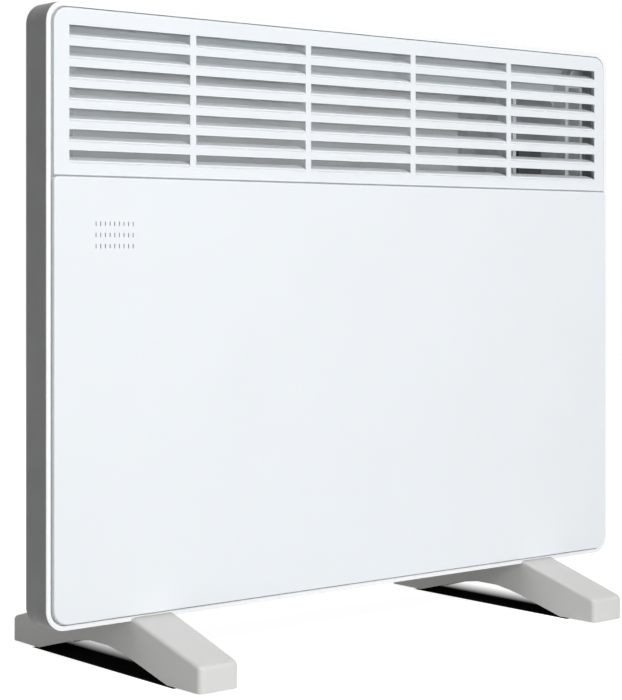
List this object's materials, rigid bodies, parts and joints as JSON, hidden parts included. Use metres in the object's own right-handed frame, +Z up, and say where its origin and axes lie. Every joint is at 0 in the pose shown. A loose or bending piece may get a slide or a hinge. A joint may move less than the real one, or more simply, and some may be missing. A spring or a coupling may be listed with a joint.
{
  "type": "wall panel convector heater",
  "caption": "Flat panel convector heater with a louvred outlet above a plain front panel, a shallow shell, an inset rear cover with side controls, and two screwed-on feet.",
  "frame": {"origin": "on the floor, under the middle of the heater, half way between the toes of its feet", "axes": "+Z up, +X to the right seen from the front, +Y to the back; the front panel faces -Y"},
  "size_m": [0.526, 0.218, 0.436],
  "materials": {
    "white_lip": "smooth satin enamel",
    "white_enamel": "fine satin powder coat",
    "grey_enamel": "satin powder coat",
    "zinc_sheet": "galvanised sheet",
    "cast_aluminium": "matt extruded",
    "steel": "drawn",
    "ceramic": "unglazed ceramic",
    "dark_plastic": "fine grained moulding",
    "black_plastic": "smooth moulding",
    "knob_plastic": "satin moulding",
    "foot_plastic": "fine grained moulding",
    "rubber": "matt",
    "copper": "drawn copper",
    "wire_brown": "silicone sleeve",
    "wire_blue": "silicone sleeve",
    "screw_zinc": "zinc plated"
  },
  "bodies": {
    "casing": {"front_frame": "white_lip", "outlet_grille": "white_enamel", "front_panel": "white_enamel", "casing_shell": "grey_enamel", "rear_cover": "grey_enamel", "heat_shield": "zinc_sheet", "partition_plate": "zinc_sheet", "control_bracket": "zinc_sheet", "heating_element": "cast_aluminium", "element_rod": "steel", "element_bush_left": "ceramic", "element_bush_right": "ceramic", "element_bracket": "zinc_sheet", "control_plate": "dark_plastic", "thermostat_body": "dark_plastic", "switch_body": "black_plastic", "sensor_bulb": "copper", "sensor_clip": "zinc_sheet", "sensor_capillary": "copper", "thermal_cutout": "steel", "terminal_block": "ceramic", "wire_block_to_switch": "wire_brown", "wire_switch_to_thermostat": "wire_brown", "wire_thermostat_to_cutout": "wire_brown", "wire_cutout_to_element": "wire_brown", "wire_element_to_block": "wire_blue", "cable_gland": "black_plastic", "gland_nut": "black_plastic", "earth_screw": "screw_zinc", "foot_left": "foot_plastic", "foot_pad_left_front": "rubber", "foot_pad_left_rear": "rubber", "foot_right": "foot_plastic", "foot_pad_right_front": "rubber", "foot_pad_right_rear": "rubber", "foot_screw_1": "screw_zinc", "foot_screw_2": "screw_zinc", "foot_screw_3": "screw_zinc", "foot_screw_4": "screw_zinc", "cover_screw_1": "screw_zinc", "cover_screw_2": "screw_zinc", "cover_screw_3": "screw_zinc", "cover_screw_4": "screw_zinc", "cover_screw_5": "screw_zinc", "cover_screw_6": "screw_zinc", "frame_screw_1": "screw_zinc", "frame_screw_2": "screw_zinc", "frame_screw_3": "screw_zinc", "frame_screw_4": "screw_zinc"},
    "thermostat_dial": {"thermostat_knob": "knob_plastic", "thermostat_shaft": "steel"},
    "rocker": {"switch_key": "black_plastic"}
  },
  "joints": [
    {"name": "thermostat_turn", "type": "hinge", "parent": "casing", "child": "thermostat_dial", "pos_m": [0.2316, 0.0135, 0.34], "axis": [-1, 0, 0], "range_deg": [0, 280]},
    {"name": "switch_rock", "type": "hinge", "parent": "casing", "child": "rocker", "pos_m": [0.2302, 0.0135, 0.288], "axis": [0, -1, 0], "range_deg": [0, 17]}
  ]
}
